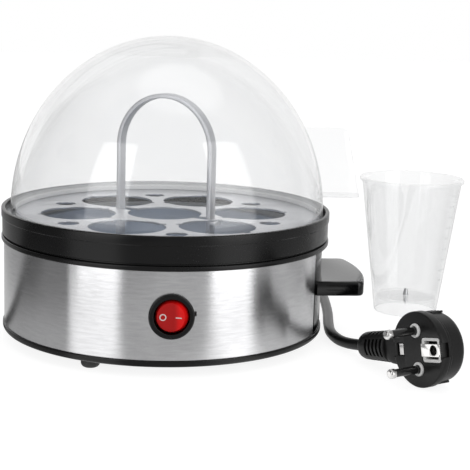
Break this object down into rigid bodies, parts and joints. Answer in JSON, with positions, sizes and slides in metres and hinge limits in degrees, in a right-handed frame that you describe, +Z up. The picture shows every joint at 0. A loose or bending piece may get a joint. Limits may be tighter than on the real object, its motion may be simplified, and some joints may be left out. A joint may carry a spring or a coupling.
{
  "type": "electric egg boiler",
  "caption": "Round egg boiler with domed lid, lifting egg tray, steel band, side handle, rocker switch, mains cord with plug, and measuring cup.",
  "frame": {"origin": "on the surface that the boiler stands on, under the axis of its steel band", "axes": "+Z up, -Y from the axis towards the switch, +X towards the side handle"},
  "size_m": [0.2712, 0.3425, 0.1644],
  "materials": {
    "clear_plastic": "clear, glossy",
    "tray_metal": "satin",
    "pan_coating": "dark, smooth",
    "band_steel": "brushed round the axis",
    "black_plastic": "glossy",
    "foot_rubber": "matt",
    "red_plastic": "glossy",
    "plug_plastic": "satin",
    "cord_jacket": "satin",
    "pin_plating": "bright",
    "collar_plastic": "satin",
    "silicone": "matt",
    "heater_sheath": "dull",
    "zinc_steel": "plated",
    "brass_contact": "bright",
    "white_plastic": "matt",
    "brown_resin": "satin"
  },
  "bodies": {
    "housing": {"heating_pan": "pan_coating", "top_ring": "black_plastic", "band_collar": "black_plastic", "steel_band": "band_steel", "side_handle": "black_plastic", "base_cover": "black_plastic", "feet": "foot_rubber", "base_screws": "zinc_steel", "switch_body": "black_plastic", "switch_terminals": "brass_contact", "pan_gasket": "silicone", "heating_element": "heater_sheath", "element_pins": "zinc_steel", "element_clamp": "zinc_steel", "pan_stud": "zinc_steel", "clamp_nut": "zinc_steel", "earth_tab": "brass_contact", "thermostat": "brown_resin", "thermal_fuse": "heater_sheath", "terminal_block": "white_plastic", "cord_gland": "plug_plastic", "cord_tail": "cord_jacket", "cord_coil": "cord_jacket", "cord_lead": "cord_jacket", "plug_body": "plug_plastic", "plug_boot": "plug_plastic", "plug_pins": "pin_plating", "pin_collars": "collar_plastic", "plug_earth_contacts": "pin_plating"},
    "tray": {"egg_tray": "tray_metal", "tray_handle": "tray_metal"},
    "lid": {"lid_dome": "clear_plastic", "lid_tab": "clear_plastic"},
    "rocker": {"switch_rocker": "red_plastic"},
    "cup": {"measuring_cup": "clear_plastic", "pricking_pin": "zinc_steel"}
  },
  "joints": [
    {"name": "tray_lift", "type": "slide", "parent": "housing", "child": "tray", "axis": [0, 0, 1], "range_m": [0, 0.12]},
    {"name": "lid_lift", "type": "slide", "parent": "tray", "child": "lid", "axis": [0, 0, 1], "range_m": [0, 0.15]},
    {"name": "rocker_turn", "type": "hinge", "parent": "housing", "child": "rocker", "pos_m": [0, -0.0869, 0.0312], "axis": [0, 0, 1], "range_deg": [0, 16]},
    {"name": "cup_lift", "type": "slide", "parent": "housing", "child": "cup", "axis": [0, 0, 1], "range_m": [0, 0.1]}
  ]
}
